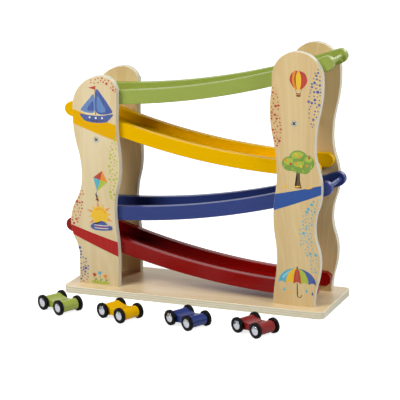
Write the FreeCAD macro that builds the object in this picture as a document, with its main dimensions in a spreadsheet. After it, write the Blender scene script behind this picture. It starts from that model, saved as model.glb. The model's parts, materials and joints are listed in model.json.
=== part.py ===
import FreeCAD, Part
import math
import os

import Sketcher

# A wooden toy car ramp: two wavy towers on a base board carry four curved ramps,
# and four little cars stand on the table in front of it.
# Origin at the middle of the base board's underside, X to the right, Y to the back, Z up.
# All lengths are millimetres and all angles are degrees.

sizes = {
    # Base board
    "base_length": 370,
    "base_depth": 118,
    "base_thickness": 10,
    "base_corner_radius": 8,
    "base_edge_round": 1,
    # Tower panels, all cut from the same sheet
    "panel_thickness": 9.6,
    "panel_gap": 64.5,
    "panel_edge_round": 0.8,
    "left_apex_x": -128,
    "left_apex_height": 298.5,
    "left_outer_shoulder_radius": 44,
    "left_inner_shoulder_radius": 20.7,
    "left_foot_outer": 40.2,
    "left_foot_inner": 17.5,
    "right_apex_x": 144,
    "right_apex_height": 346.2,
    "right_outer_shoulder_radius": 34,
    "right_inner_shoulder_radius": 34,
    "right_foot_outer": 22.5,
    "right_foot_inner": 33.4,
    # Line of the screws and pins in each tower
    "left_fixing_x": -138.3,
    "left_screw_height": 212.1,
    "right_fixing_x": 140.1,
    "right_screw_height": 253.2,
    "spacer_diameter": 12,
    # Ramp rails
    "rail_height": 19,
    "rail_thickness": 9.5,
    "rail_edge_round": 0.8,
    # Ramp floors, let into grooves of the rails
    "floor_drop": 11,
    "floor_thickness": 4,
    "floor_low_reach": 118,
    "groove_depth": 3,
    "groove_clearance": 0.2,
    # Dowel across the high end of each ramp
    "stop_diameter": 6,
    "stop_inset": 7,
    "stop_bite": 4,
    "stop_gap": 1.5,
    # Hidden pins between rails and panels
    "pin_diameter": 4,
    "pin_bite": 5,
    # Screws through the panels into the spacers
    "screw_diameter": 4,
    "screw_head_diameter": 8.2,
    "screw_length": 30,
    "screw_point_length": 4,
    "recess_width": 1.1,
    "recess_span": 4.6,
    "recess_depth": 1.8,
    # Screws through the base board into the panels' feet
    "base_screw_length": 34,
    "base_screw_spread": 32,
    # Each ramp: its top edge's radius and lowest point, and how far its ends reach
    "green_top_radius": 1024,
    "green_low_x": -178.6,
    "green_low_height": 276.6,
    "green_low_reach": 168.3,
    "green_high_reach": 189.2,
    "yellow_top_radius": 900,
    "yellow_low_x": 140.6,
    "yellow_low_height": 201.1,
    "yellow_low_reach": 171.5,
    "yellow_high_reach": 188,
    "blue_top_radius": 1024,
    "blue_low_x": -164.8,
    "blue_low_height": 118.8,
    "blue_low_reach": 168.3,
    "blue_high_reach": 187.5,
    "red_top_radius": 950,
    "red_low_x": 151.5,
    "red_low_height": 38.9,
    "red_low_reach": 168.3,
    "red_high_reach": 190.8,
    # Cars
    "wheel_diameter": 20.4,
    "wheelbase": 33.3,
    "track_outer": 35.6,
    "tyre_width": 4.5,
    "wheel_gap": 0.9,
    "tyre_shoulder_radius": 1.6,
    "hub_diameter": 11.8,
    "hub_rim_width": 0.9,
    "hub_dish_depth": 0.9,
    "hub_boss_diameter": 6,
    "hub_boss_gap": 0.3,
    "axle_diameter": 3,
    "axle_clearance": 0.05,
    "axle_end_inset": 0.5,
    "axle_end_chamfer": 0.3,
    "car_end_radius": 7.5,
    "car_waist_height": 9,
    # The body fills the room between the wheels
    "car_width": "=track_outer - 2 * (tyre_width + wheel_gap)",
    "car_edge_round": 0.8,
    # Where each car stands, and the way it points
    "green_car_x": -155.2,
    "green_car_y": -131.4,
    "green_car_heading": -27.2,
    "yellow_car_x": -66.9,
    "yellow_car_y": -136.2,
    "yellow_car_heading": -24.7,
    "blue_car_x": 28.1,
    "blue_car_y": -136,
    "blue_car_heading": -26.9,
    "red_car_x": 120.2,
    "red_car_y": -135.6,
    "red_car_heading": -25.7,
}

# Where the wavy sides of a tower turn, from the top down: the distance from the
# tower's apex line and the height, both in millimetres
side_turns = {
    "left_outer": [(44, 240), (33, 161), (51.1, 95), (39.8, 50)],
    "left_inner": [(19, 232), (22.7, 178), (14.2, 116), (18.4, 52)],
    "right_outer": [(34, 305), (23.4, 222), (32.9, 167), (23.5, 114), (31.2, 70)],
    "right_inner": [(37.1, 270), (27.9, 188), (32.8, 127), (28.1, 73)],
}

# Each ramp runs uphill to the left (-1) or to the right (1)
ramps = {"green": 1, "yellow": -1, "blue": 1, "red": -1}
towers = {"left": -1, "right": 1}
rows = {"front": -1, "back": 1}
cars = ["green", "yellow", "blue", "red"]

up = FreeCAD.Vector(0, 0, 1)
doc = FreeCAD.newDocument("ToyCarRamp")
sheet = doc.addObject("Spreadsheet::Sheet", "Sizes")


def fill_sheet():
    for side, turns in side_turns.items():
        for number, (reach, height) in enumerate(turns, start=1):
            sizes["%s_turn_%d_reach" % (side, number)] = reach
            sizes["%s_turn_%d_height" % (side, number)] = height
    for row, (name, value) in enumerate(sizes.items(), start=1):
        sheet.set("A%d" % row, name)
        sheet.set("B%d" % row, str(value))
        sheet.setAlias("B%d" % row, name)
    doc.recompute()


def size(name):
    return float(sheet.get(name))


def bind(thing, **expressions):
    for name, expression in expressions.items():
        thing.setExpression(name.replace("__", "."), expression)


# Bodies and sketches

def new_body(label):
    body = doc.addObject("PartDesign::Body", label)
    body.Label = label
    return body


def origin_plane(body, role):
    return [f for f in body.Origin.OriginFeatures if f.Role == role][0]


def new_sketch(body, name, role, height=None):
    sketch = body.newObject("Sketcher::SketchObject", name)
    sketch.AttachmentSupport = [(origin_plane(body, role), "")]
    sketch.MapMode = "FlatFace"
    if height is not None:
        bind(sketch, AttachmentOffset__Base__z=height)
    return sketch


def add_circle(sketch, x, y, diameter):
    value = size_of(diameter)
    circle = Part.Circle(FreeCAD.Vector(x, y, 0), up, value / 2)
    edge = sketch.addGeometry(circle, False)
    number = sketch.addConstraint(Sketcher.Constraint("Diameter", edge, value))
    sketch.setExpression("Constraints[%d]" % number, diameter)


def size_of(expression):
    probe = sheet.evalExpression(expression.replace("Sizes.", ""))
    return float(probe)


# An outline is a list of lines and arcs that follow each other round it
def line(start, end):
    return {"start": start, "end": end, "centre": None}


def arc(centre, start, end, turn):
    return {"start": start, "end": end, "centre": centre, "turn": turn}


def draw(sketch, outline):
    ends = []
    for piece in outline:
        start = FreeCAD.Vector(piece["start"][0], piece["start"][1], 0)
        end = FreeCAD.Vector(piece["end"][0], piece["end"][1], 0)
        if piece["centre"] is None:
            edge = sketch.addGeometry(Part.LineSegment(start, end), False)
            ends.append((edge, 1, 2))
            continue
        centre = FreeCAD.Vector(piece["centre"][0], piece["centre"][1], 0)
        circle = Part.Circle(centre, up, start.distanceToPoint(centre))
        first = math.atan2(start.y - centre.y, start.x - centre.x)
        last = math.atan2(end.y - centre.y, end.x - centre.x)
        if piece["turn"] > 0:
            edge = sketch.addGeometry(Part.ArcOfCircle(circle, first, last), False)
            ends.append((edge, 1, 2))
        else:
            edge = sketch.addGeometry(Part.ArcOfCircle(circle, last, first), False)
            ends.append((edge, 2, 1))
    joins = []
    for (edge, _, finish), (following, begin, _) in zip(ends, ends[1:] + ends[:1]):
        joins.append(Sketcher.Constraint("Coincident", edge, finish, following, begin))
    sketch.addConstraint(joins)


def pad(body, sketch, length, side="One side", reverse=False):
    feature = body.newObject("PartDesign::Pad", body.Name + "_pad")
    feature.Profile = sketch
    feature.SideType = side
    feature.Reversed = reverse
    bind(feature, Length=length)
    return feature


def pocket(body, sketch, length, reverse=False):
    feature = body.newObject("PartDesign::Pocket", sketch.Name + "_cut")
    feature.Profile = sketch
    feature.Reversed = reverse
    if length == "through":
        feature.Type = "ThroughAll"
        feature.SideType = "Symmetric"
    else:
        bind(feature, Length=length)
    return feature


def countersink(body, sketch, reverse):
    doc.recompute()
    hole = body.newObject("PartDesign::Hole", sketch.Name + "_hole")
    hole.Profile = sketch
    hole.DepthType = "ThroughAll"
    hole.HoleCutType = "Countersink"
    hole.HoleCutCustomValues = True
    hole.HoleCutCountersinkAngle = 90
    hole.Reversed = reverse
    bind(hole, Diameter="Sizes.screw_diameter", HoleCutDiameter="Sizes.screw_head_diameter")
    return hole


def round_edges(body, base, radius, wanted):
    doc.recompute()
    names = []
    for number, edge in enumerate(base.Shape.Edges, start=1):
        if wanted(edge):
            names.append("Edge%d" % number)
    feature = body.newObject("PartDesign::Fillet", base.Name + "_round")
    feature.Base = (base, names)
    bind(feature, Radius=radius)
    return feature


def level_edge(axis, *levels):
    def test(edge):
        box = edge.BoundBox
        low = getattr(box, axis + "Min")
        high = getattr(box, axis + "Max")
        return any(abs(low - level) < 1e-6 and abs(high - level) < 1e-6 for level in levels)
    return test


# Tower panels

def side_points(tower, side):
    """Where one side of a tower is upright, from the shoulder down to the foot."""
    way = towers[tower] if side == "outer" else -towers[tower]
    apex = size(tower + "_apex_x")
    radius = size("%s_%s_shoulder_radius" % (tower, side))
    points = [(apex + way * radius, size(tower + "_apex_height") - radius)]
    for number in range(1, len(side_turns["%s_%s" % (tower, side)]) + 1):
        name = "%s_%s_turn_%d" % (tower, side, number)
        points.append((apex + way * size(name + "_reach"), size(name + "_height")))
    foot = size("%s_foot_%s" % (tower, side))
    points.append((apex + way * foot, size("base_thickness")))
    return points


def wave(points):
    """Two equal arcs between each pair of turning points, upright at both."""
    outline = []
    for (x1, z1), (x2, z2) in zip(points, points[1:]):
        step = x2 - x1
        if abs(step) < 1e-6:
            outline.append(line((x1, z1), (x2, z2)))
            continue
        radius = (step ** 2 + (z2 - z1) ** 2) / (4 * abs(step))
        way = math.copysign(1, step)
        middle = ((x1 + x2) / 2, (z1 + z2) / 2)
        turn = way * math.copysign(1, z1 - z2)
        outline.append(arc((x1 + way * radius, z1), (x1, z1), middle, turn))
        outline.append(arc((x2 - way * radius, z2), middle, (x2, z2), -turn))
    return outline


def tower_outline(tower):
    """Down the outer side, along the foot, up the inner side and over the top."""
    outer = side_points(tower, "outer")
    inner = side_points(tower, "inner")
    apex = (size(tower + "_apex_x"), size(tower + "_apex_height"))
    way = towers[tower]
    outline = wave(outer)
    outline.append(line(outer[-1], inner[-1]))
    outline += wave(inner[::-1])
    inner_centre = (apex[0], inner[0][1])
    outer_centre = (apex[0], outer[0][1])
    outline.append(arc(inner_centre, inner[0], apex, -way))
    outline.append(arc(outer_centre, apex, outer[0], -way))
    return outline


def foot_middle(tower):
    outer = towers[tower] * size(tower + "_foot_outer")
    inner = -towers[tower] * size(tower + "_foot_inner")
    return size(tower + "_apex_x") + (outer + inner) / 2


def ramp_centre(colour):
    return size(colour + "_low_x"), size(colour + "_low_height") + size(colour + "_top_radius")


def middle_radius(colour):
    return size(colour + "_top_radius") + size("rail_height") / 2


def arc_height(colour, x, radius):
    centre_x, centre_z = ramp_centre(colour)
    return centre_z - math.sqrt(radius ** 2 - (x - centre_x) ** 2)


def make_panel(tower, row):
    body = new_body("%s_panel_%s" % (tower, row))
    back = row == "back"
    outline = new_sketch(body, body.Name + "_outline", "XZ_Plane")
    draw(outline, tower_outline(tower))
    board = pad(body, outline, "Sizes.panel_thickness")
    faces = level_edge("Y", 0, -size("panel_thickness"))
    foot_line = size("base_thickness") + size("panel_edge_round")
    round_edges(body, board, "Sizes.panel_edge_round",
                lambda edge: faces(edge) and edge.BoundBox.ZMax > foot_line)

    x = size(tower + "_fixing_x")
    inside, outside = ("Sizes.panel_thickness", "0") if back else ("0", "Sizes.panel_thickness")
    pins = new_sketch(body, body.Name + "_pins", "XZ_Plane", inside)
    for colour in ramps:
        add_circle(pins, x, arc_height(colour, x, middle_radius(colour)), "Sizes.pin_diameter")
    pocket(body, pins, "Sizes.pin_bite", reverse=not back)

    screw = new_sketch(body, body.Name + "_screw", "XZ_Plane", outside)
    add_circle(screw, x, size(tower + "_screw_height"), "Sizes.screw_diameter")
    countersink(body, screw, reverse=back)

    foot = new_sketch(body, body.Name + "_foot", "XY_Plane", "Sizes.base_thickness")
    for side in (-1, 1):
        add_circle(foot, foot_middle(tower) + side * size("base_screw_spread") / 2,
                   -size("panel_thickness") / 2, "Sizes.screw_diameter")
    pocket(body, foot, "Sizes.base_screw_length - Sizes.base_thickness", reverse=True)
    bind(body, Placement__Base__y="Sizes.panel_gap / 2 + Sizes.panel_thickness" if back
         else "-Sizes.panel_gap / 2")
    return body


# Base board

def make_base():
    body = new_body("base_board")
    outline = new_sketch(body, "base_outline", "XY_Plane")
    half_x = size("base_length") / 2
    half_y = size("base_depth") / 2
    corners = [(-half_x, -half_y), (half_x, -half_y), (half_x, half_y), (-half_x, half_y)]
    draw(outline, [line(a, b) for a, b in zip(corners, corners[1:] + corners[:1])])
    long_side = Sketcher.Constraint("DistanceX", 0, 1, 0, 2, 2 * half_x)
    short_side = Sketcher.Constraint("DistanceY", 1, 1, 1, 2, 2 * half_y)
    outline.addConstraint([Sketcher.Constraint("Horizontal", 0), Sketcher.Constraint("Vertical", 1),
                           Sketcher.Constraint("Horizontal", 2), Sketcher.Constraint("Vertical", 3),
                           Sketcher.Constraint("Symmetric", 0, 1, 1, 2, -1, 1)])
    number = outline.addConstraint(long_side)
    outline.setExpression("Constraints[%d]" % number, "Sizes.base_length")
    number = outline.addConstraint(short_side)
    outline.setExpression("Constraints[%d]" % number, "Sizes.base_depth")
    board = pad(body, outline, "Sizes.base_thickness")
    corners_round = round_edges(body, board, "Sizes.base_corner_radius",
                                lambda edge: edge.BoundBox.ZLength > size("base_thickness") / 2)
    round_edges(body, corners_round, "Sizes.base_edge_round",
                level_edge("Z", 0, size("base_thickness")))
    holes = new_sketch(body, "base_holes", "XY_Plane")
    for x, y in base_screw_places():
        add_circle(holes, x, y, "Sizes.screw_diameter")
    countersink(body, holes, reverse=True)
    return body


def base_screw_places():
    places = []
    for tower in towers:
        for row in rows.values():
            for side in (-1, 1):
                x = foot_middle(tower) + side * size("base_screw_spread") / 2
                y = row * (size("panel_gap") + size("panel_thickness")) / 2
                places.append((x, y))
    return places


# Ramps

def on_arc(colour, radius, x):
    return (x, arc_height(colour, x, radius))


def radial(colour, x, radius):
    """The point at a radius on the line from the ramp's centre through its mid line at x."""
    centre_x, centre_z = ramp_centre(colour)
    mid_x, mid_z = on_arc(colour, middle_radius(colour), x)
    scale = radius / middle_radius(colour)
    return (centre_x + (mid_x - centre_x) * scale, centre_z + (mid_z - centre_z) * scale)


def band(colour, low_x, high_x, top, bottom, round_ends=False):
    """A strip between two radii about the ramp's centre, with square or full-round ends."""
    way = ramps[colour]
    centre = ramp_centre(colour)
    low_top, low_bottom = radial(colour, low_x, top), radial(colour, low_x, bottom)
    high_top, high_bottom = radial(colour, high_x, top), radial(colour, high_x, bottom)
    outline = [arc(centre, low_top, high_top, way)]
    if round_ends:
        outline.append(arc(radial(colour, high_x, (top + bottom) / 2), high_top, high_bottom, -way))
    else:
        outline.append(line(high_top, high_bottom))
    outline.append(arc(centre, high_bottom, low_bottom, -way))
    if round_ends:
        outline.append(arc(radial(colour, low_x, (top + bottom) / 2), low_bottom, low_top, -way))
    else:
        outline.append(line(low_bottom, low_top))
    return outline


def stop_x(colour):
    return ramps[colour] * (size(colour + "_high_reach") - size("stop_inset"))


def floor_ends(colour):
    way = ramps[colour]
    low = -way * size("floor_low_reach")
    high = stop_x(colour) - way * (size("stop_diameter") / 2 + size("stop_gap"))
    return low, high


def make_rail(colour, row):
    body = new_body("%s_rail_%s" % (colour, row))
    back = row == "back"
    way = ramps[colour]
    end_radius = size("rail_height") / 2
    top = size(colour + "_top_radius")
    low_x = -way * (size(colour + "_low_reach") - end_radius)
    high_x = way * (size(colour + "_high_reach") - end_radius)
    outline = new_sketch(body, body.Name + "_outline", "XZ_Plane")
    draw(outline, band(colour, low_x, high_x, top, top + size("rail_height"), round_ends=True))
    strip = pad(body, outline, "Sizes.rail_thickness", reverse=back)
    outer_face = rows[row] * size("rail_thickness")
    round_edges(body, strip, "Sizes.rail_edge_round", level_edge("Y", 0, outer_face))

    groove = new_sketch(body, body.Name + "_groove", "XZ_Plane")
    floor_low, floor_high = floor_ends(colour)
    spare = way * size("groove_clearance")
    floor_top = top + size("floor_drop")
    draw(groove, band(colour, floor_low - spare, floor_high + spare,
                      floor_top, floor_top + size("floor_thickness")))
    pocket(body, groove, "Sizes.groove_depth", reverse=not back)

    stop = new_sketch(body, body.Name + "_stop", "XZ_Plane")
    add_circle(stop, *on_arc(colour, middle_radius(colour), stop_x(colour)), "Sizes.stop_diameter")
    pocket(body, stop, "Sizes.stop_bite", reverse=not back)

    outside = "%d * Sizes.rail_thickness" % -rows[row]
    pins = new_sketch(body, body.Name + "_pins", "XZ_Plane", outside)
    for tower in towers:
        x = size(tower + "_fixing_x")
        add_circle(pins, *on_arc(colour, middle_radius(colour), x), "Sizes.pin_diameter")
    pocket(body, pins, "Sizes.pin_bite", reverse=back)
    bind(body, Placement__Base__y="%d * (Sizes.panel_gap / 2 - Sizes.rail_thickness)" % rows[row])
    return body


def make_floor(colour):
    body = new_body(colour + "_floor")
    low, high = floor_ends(colour)
    top = size(colour + "_top_radius") + size("floor_drop")
    outline = new_sketch(body, body.Name + "_outline", "XZ_Plane")
    draw(outline, band(colour, low, high, top, top + size("floor_thickness")))
    width = ("Sizes.panel_gap - 2 * Sizes.rail_thickness"
             " + 2 * (Sizes.groove_depth - Sizes.groove_clearance)")
    pad(body, outline, width, side="Symmetric")
    return body


# Round bars that lie from front to back

def make_bar(label, x, z, diameter, length):
    body = new_body(label)
    section = new_sketch(body, label + "_section", "XZ_Plane")
    add_circle(section, 0, 0, diameter)
    pad(body, section, length, side="Symmetric")
    body.Placement.Base = FreeCAD.Vector(x, 0, z)
    return body


def make_stop(colour):
    x, z = on_arc(colour, middle_radius(colour), stop_x(colour))
    length = "Sizes.panel_gap - 2 * Sizes.rail_thickness + 2 * Sizes.stop_bite"
    return make_bar(colour + "_stop_dowel", x, z, "Sizes.stop_diameter", length)


def make_spacer(tower):
    x = size(tower + "_fixing_x")
    z = size(tower + "_screw_height")
    bar = make_bar(tower + "_spacer", x, z, "Sizes.spacer_diameter", "Sizes.panel_gap")
    for row, way in rows.items():
        end = "%d * Sizes.panel_gap / 2" % -way
        bore = new_sketch(bar, "%s_bore_%s" % (bar.Name, row), "XZ_Plane", end)
        add_circle(bore, 0, 0, "Sizes.screw_diameter")
        pocket(bar, bore, "Sizes.screw_length - Sizes.panel_thickness", reverse=way > 0)
    return bar


# Screws and pins, each kind as one group

def screw_shape(length):
    """A countersunk screw along +Z from its head's flat face at the origin."""
    radius = size("screw_diameter") / 2
    head = size("screw_head_diameter") / 2
    shank_end = length - size("screw_point_length")
    profile = [(0, 0), (head, 0), (radius, head - radius), (radius, shank_end), (0, length)]
    wire = Part.makePolygon([FreeCAD.Vector(x, 0, z) for x, z in profile + profile[:1]])
    screw = Part.Face(wire).revolve(FreeCAD.Vector(), up, 360)
    span, width, depth = size("recess_span"), size("recess_width"), size("recess_depth")
    for long_x, long_y in ((span, width), (width, span)):
        corner = FreeCAD.Vector(-long_x / 2, -long_y / 2, 0)
        screw = screw.cut(Part.makeBox(long_x, long_y, depth, corner))
    return screw


def place(shape, x, y, z, direction):
    copy = shape.copy()
    copy.Placement = FreeCAD.Placement(FreeCAD.Vector(x, y, z), FreeCAD.Rotation(up, direction))
    return copy


def make_group(label, shapes):
    group = doc.addObject("Part::Feature", label)
    group.Label = label
    group.Shape = Part.makeCompound(shapes)
    return group


def make_tower_screws():
    screw = screw_shape(size("screw_length"))
    outer_face = size("panel_gap") / 2 + size("panel_thickness")
    shapes = []
    for tower in towers:
        for row in rows.values():
            shapes.append(place(screw, size(tower + "_fixing_x"), row * outer_face,
                                size(tower + "_screw_height"), FreeCAD.Vector(0, -row, 0)))
    return make_group("tower_screws", shapes)


def make_base_screws():
    screw = screw_shape(size("base_screw_length"))
    shapes = [place(screw, x, y, 0, up) for x, y in base_screw_places()]
    return make_group("base_screws", shapes)


def make_pins():
    bite = size("pin_bite")
    pin = Part.makeCylinder(size("pin_diameter") / 2, 2 * bite)
    shapes = []
    for tower in towers:
        x = size(tower + "_fixing_x")
        for colour in ramps:
            for row in rows.values():
                y = row * (size("panel_gap") / 2 - bite)
                shapes.append(place(pin, x, y, arc_height(colour, x, middle_radius(colour)),
                                    FreeCAD.Vector(0, row, 0)))
    return make_group("rail_pins", shapes)


# Cars, drawn with the axles along Y and the middle of the body at the origin

def car_place(thing, colour, along="0"):
    thing.Placement.Rotation = FreeCAD.Rotation(up, size(colour + "_car_heading"))
    car = "Sizes.%s_car_" % colour
    bind(thing, Placement__Rotation__Angle=car + "heading",
         Placement__Base__x="%sx + (%s) * cos(%sheading)" % (car, along, car),
         Placement__Base__y="%sy + (%s) * sin(%sheading)" % (car, along, car),
         Placement__Base__z="Sizes.wheel_diameter / 2")


def car_outline():
    """Round ends about the axles, drawn in to a waist by hollow arcs that meet them smoothly."""
    half = size("wheelbase") / 2
    end = size("car_end_radius")
    waist = size("car_waist_height") / 2
    hollow = (half ** 2 + waist ** 2 - end ** 2) / (2 * (end - waist))
    reach = end / (end + hollow)
    meet_x = half * (1 - reach)
    meet_z = (waist + hollow) * reach
    return [
        arc((half, 0), (meet_x, -meet_z), (meet_x, meet_z), 1),
        arc((0, waist + hollow), (meet_x, meet_z), (-meet_x, meet_z), -1),
        arc((-half, 0), (-meet_x, meet_z), (-meet_x, -meet_z), 1),
        arc((0, -waist - hollow), (-meet_x, -meet_z), (meet_x, -meet_z), -1),
    ]


def make_car_body(colour):
    body = new_body(colour + "_car_body")
    outline = new_sketch(body, body.Name + "_outline", "XZ_Plane")
    draw(outline, car_outline())
    block = pad(body, outline, "Sizes.car_width", side="Symmetric")
    half = size("car_width") / 2
    round_edges(body, block, "Sizes.car_edge_round", level_edge("Y", -half, half))
    bores = new_sketch(body, body.Name + "_bores", "XZ_Plane")
    for side in (-1, 1):
        add_circle(bores, side * size("wheelbase") / 2, 0,
                   "Sizes.axle_diameter + 2 * Sizes.axle_clearance")
    pocket(body, bores, "through")
    car_place(body, colour)
    return body


def make_turned_pair(label, outline):
    """A part turned about the axle, and its mirror image at the axle's other end."""
    body = new_body(label)
    sketch = new_sketch(body, label + "_profile", "XY_Plane")
    draw(sketch, outline)
    turned = body.newObject("PartDesign::Revolution", label + "_turned")
    turned.Profile = sketch
    turned.ReferenceAxis = (sketch, ["V_Axis"])
    turned.Angle = 360
    mirrored = body.newObject("PartDesign::Mirrored", label + "_mirrored")
    mirrored.Originals = [turned]
    mirrored.MirrorPlane = (origin_plane(body, "XZ_Plane"), [""])
    body.Tip = mirrored
    return body


def tyre_outline():
    inner = size("hub_diameter") / 2
    outer = size("wheel_diameter") / 2
    outside = size("track_outer") / 2
    inside = outside - size("tyre_width")
    shoulder = size("tyre_shoulder_radius")
    return [
        line((inner, inside), (outer - shoulder, inside)),
        arc((outer - shoulder, inside + shoulder), (outer - shoulder, inside),
            (outer, inside + shoulder), 1),
        line((outer, inside + shoulder), (outer, outside - shoulder)),
        arc((outer - shoulder, outside - shoulder), (outer, outside - shoulder),
            (outer - shoulder, outside), 1),
        line((outer - shoulder, outside), (inner, outside)),
        line((inner, outside), (inner, inside)),
    ]


def hub_outline():
    bore = size("axle_diameter") / 2
    rim = size("hub_diameter") / 2
    boss = size("hub_boss_diameter") / 2
    outside = size("track_outer") / 2
    inside = outside - size("tyre_width")
    boss_end = size("car_width") / 2 + size("hub_boss_gap")
    lip = rim - size("hub_rim_width")
    dish = outside - size("hub_dish_depth")
    corners = [(bore, boss_end), (boss, boss_end), (boss, inside), (rim, inside), (rim, outside),
               (lip, outside), (boss, dish), (bore, dish)]
    return [line(a, b) for a, b in zip(corners, corners[1:] + corners[:1])]


def make_axle(colour, end):
    length = "Sizes.track_outer - 2 * Sizes.axle_end_inset"
    axle = make_bar("%s_%s_axle" % (colour, end), 0, 0, "Sizes.axle_diameter", length)
    doc.recompute()
    bar = axle.Tip
    rims = ["Edge%d" % number for number, edge in enumerate(bar.Shape.Edges, start=1)
            if edge.BoundBox.YLength < size("axle_end_chamfer")]
    chamfer = axle.newObject("PartDesign::Chamfer", axle.Name + "_ends")
    chamfer.Base = (bar, rims)
    bind(chamfer, Size="Sizes.axle_end_chamfer")
    return axle


def make_car(colour):
    made = [make_car_body(colour)]
    for end, way in (("front", 1), ("rear", -1)):
        along = "%d * Sizes.wheelbase / 2" % way
        wheelset = [make_turned_pair("%s_%s_hubs" % (colour, end), hub_outline()),
                    make_turned_pair("%s_%s_tyres" % (colour, end), tyre_outline()),
                    make_axle(colour, end)]
        for piece in wheelset:
            car_place(piece, colour, along)
        made += wheelset
    return made


fill_sheet()
nodes = [make_base()]
for tower in towers:
    for row in rows:
        nodes.append(make_panel(tower, row))
    nodes.append(make_spacer(tower))
for colour in ramps:
    for row in rows:
        nodes.append(make_rail(colour, row))
    nodes.append(make_floor(colour))
    nodes.append(make_stop(colour))
nodes += [make_tower_screws(), make_base_screws(), make_pins()]
for colour in cars:
    nodes += make_car(colour)
doc.recompute()

for thing in doc.Objects:
    if "Invalid" in thing.State or "Error" in thing.State:
        raise RuntimeError("%s failed: %s" % (thing.Label, thing.State))
for node in nodes:
    if node.Shape.isNull() or not node.Shape.isValid():
        raise RuntimeError("%s has no valid shape" % node.Label)

os.makedirs("parts", exist_ok=True)
for node in nodes:
    node.Shape.exportStep("parts/%s.step" % node.Label)
    print(node.Label, len(node.Shape.Solids), round(node.Shape.Volume))
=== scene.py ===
import json
from math import atan2, cos, pi, radians, sin, sqrt
import bmesh
import bpy
from mathutils import Matrix, Vector


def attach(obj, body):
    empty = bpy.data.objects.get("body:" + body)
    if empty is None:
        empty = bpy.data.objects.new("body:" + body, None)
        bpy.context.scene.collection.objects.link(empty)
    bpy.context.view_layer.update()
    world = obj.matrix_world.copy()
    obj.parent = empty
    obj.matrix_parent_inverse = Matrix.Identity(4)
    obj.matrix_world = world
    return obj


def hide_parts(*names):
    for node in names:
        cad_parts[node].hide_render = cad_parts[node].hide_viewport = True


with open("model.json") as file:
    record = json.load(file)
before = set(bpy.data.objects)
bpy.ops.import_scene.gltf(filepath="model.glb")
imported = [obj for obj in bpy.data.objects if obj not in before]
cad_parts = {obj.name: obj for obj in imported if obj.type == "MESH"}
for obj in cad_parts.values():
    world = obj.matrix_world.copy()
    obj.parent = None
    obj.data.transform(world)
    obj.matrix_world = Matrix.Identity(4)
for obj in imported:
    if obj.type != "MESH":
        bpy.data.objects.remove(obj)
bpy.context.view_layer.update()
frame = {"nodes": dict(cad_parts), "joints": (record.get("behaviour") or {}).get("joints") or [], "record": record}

mm = 0.001
scene = bpy.context.scene


# a linear colour from its sRGB hex code
def linear(code):
    channels = [int(code[i:i + 2], 16) / 255 for i in (1, 3, 5)]
    return [c / 12.92 if c <= 0.04045 else ((c + 0.055) / 1.055) ** 2.4 for c in channels] + [1]


# adds a node; its values go to the inputs that they name or, as a list, to the first inputs in
# order. A value is a constant, a colour code, a socket, or a node whose first output is used
def add(tree, kind, settings=(), values=()):
    made = tree.nodes.new(kind)
    for name, value in dict(settings).items():
        setattr(made, name, value)
    inputs = [s for s in made.inputs if s.enabled]
    if isinstance(values, dict):
        inputs = [next(s for s in inputs if name in (s.identifier, s.name)) for name in values]
        values = values.values()
    for target, value in zip(inputs, values):
        if isinstance(value, bpy.types.Node):
            value = next(s for s in value.outputs if s.enabled)
        if isinstance(value, bpy.types.NodeSocket):
            tree.links.new(value, target)
        elif isinstance(value, str) and value.startswith("#"):
            target.default_value = linear(value)
        else:
            target.default_value = value
    return made


# a material with its empty tree, and the coordinates that its patterns start from
def newMaterial(name):
    made = bpy.data.materials.new(name)
    made.use_nodes = True
    made.node_tree.nodes.clear()
    return made, made.node_tree, add(made.node_tree, "ShaderNodeTexCoord").outputs


mixColours = {"data_type": "RGBA"}


def newPiece(name, mesh):
    made = bpy.data.objects.new(name, mesh)
    scene.collection.objects.link(made)
    return made


# Camera

camera = {
    "azimuth": radians(21.91),
    "elevation": radians(14.61),
    "roll": radians(-0.8),
    "target": Vector((-0.00753, 0, 0.12981)),
    "distance": 2.7273,
    "lens": 183.86,
    "sensor": 36,
    "clip": (0.1, 30),
}


def placeCamera(values):
    level = cos(values["elevation"])
    back = Vector((sin(values["azimuth"]) * level, -cos(values["azimuth"]) * level,
                   sin(values["elevation"])))
    right = Vector((0, 0, 1)).cross(back).normalized()
    above = back.cross(right)
    cosine, sine = cos(values["roll"]), sin(values["roll"])
    turned = Matrix((right * cosine + above * sine, above * cosine - right * sine, back))
    lens = bpy.data.cameras.new("camera")
    lens.sensor_width = values["sensor"]
    lens.lens = values["lens"]
    lens.clip_start, lens.clip_end = values["clip"]
    holder = newPiece("camera", lens)
    holder.matrix_world = (Matrix.Translation(values["target"] + back * values["distance"])
                           @ turned.transposed().to_4x4())
    scene.camera = holder


placeCamera(camera)
print("camera placed")

# Studio: a white floor and world, a large soft lamp in front to the left, weaker ones around

studio = {
    "floorHalf": 8,
    "floorPaint": "#D8D8D8",
    "floorPatch": "#D4D4D4",
    "patchScale": 40,
    "floorSeen": (0.8, 1.0),
    "floorReach": (0.4, 1.3),
    "floorMirrored": 0.25,
    "worldSeen": 1.0,
    "worldMirrored": 1.0,
    "worldOverhead": 0.25,
    "worldTurn": (-0.3, 0.3),
    "worldSkyline": (0.0, 0.6),
    "worldFade": 0.1,
    "worldFill": 0.045,
    "lampHeight": 0.15,
    "lamps": {
        "key": {"around": -33, "up": 40, "far": 1.7, "size": 0.85, "power": 23.5,
                "colour": "#FFFDFA"},
        "side": {"around": 73, "up": 30, "far": 1.5, "size": 0.4, "power": 9.8,
                 "colour": "#FCFDFF"},
        "back": {"around": 158, "up": 32, "far": 2.0, "size": 0.9, "power": 12,
                 "colour": "#FFFFFF"},
        "top": {"around": 200, "up": 78, "far": 2.1, "size": 1.4, "power": 7,
                "colour": "#FFFFFF"},
    },
}


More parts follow.
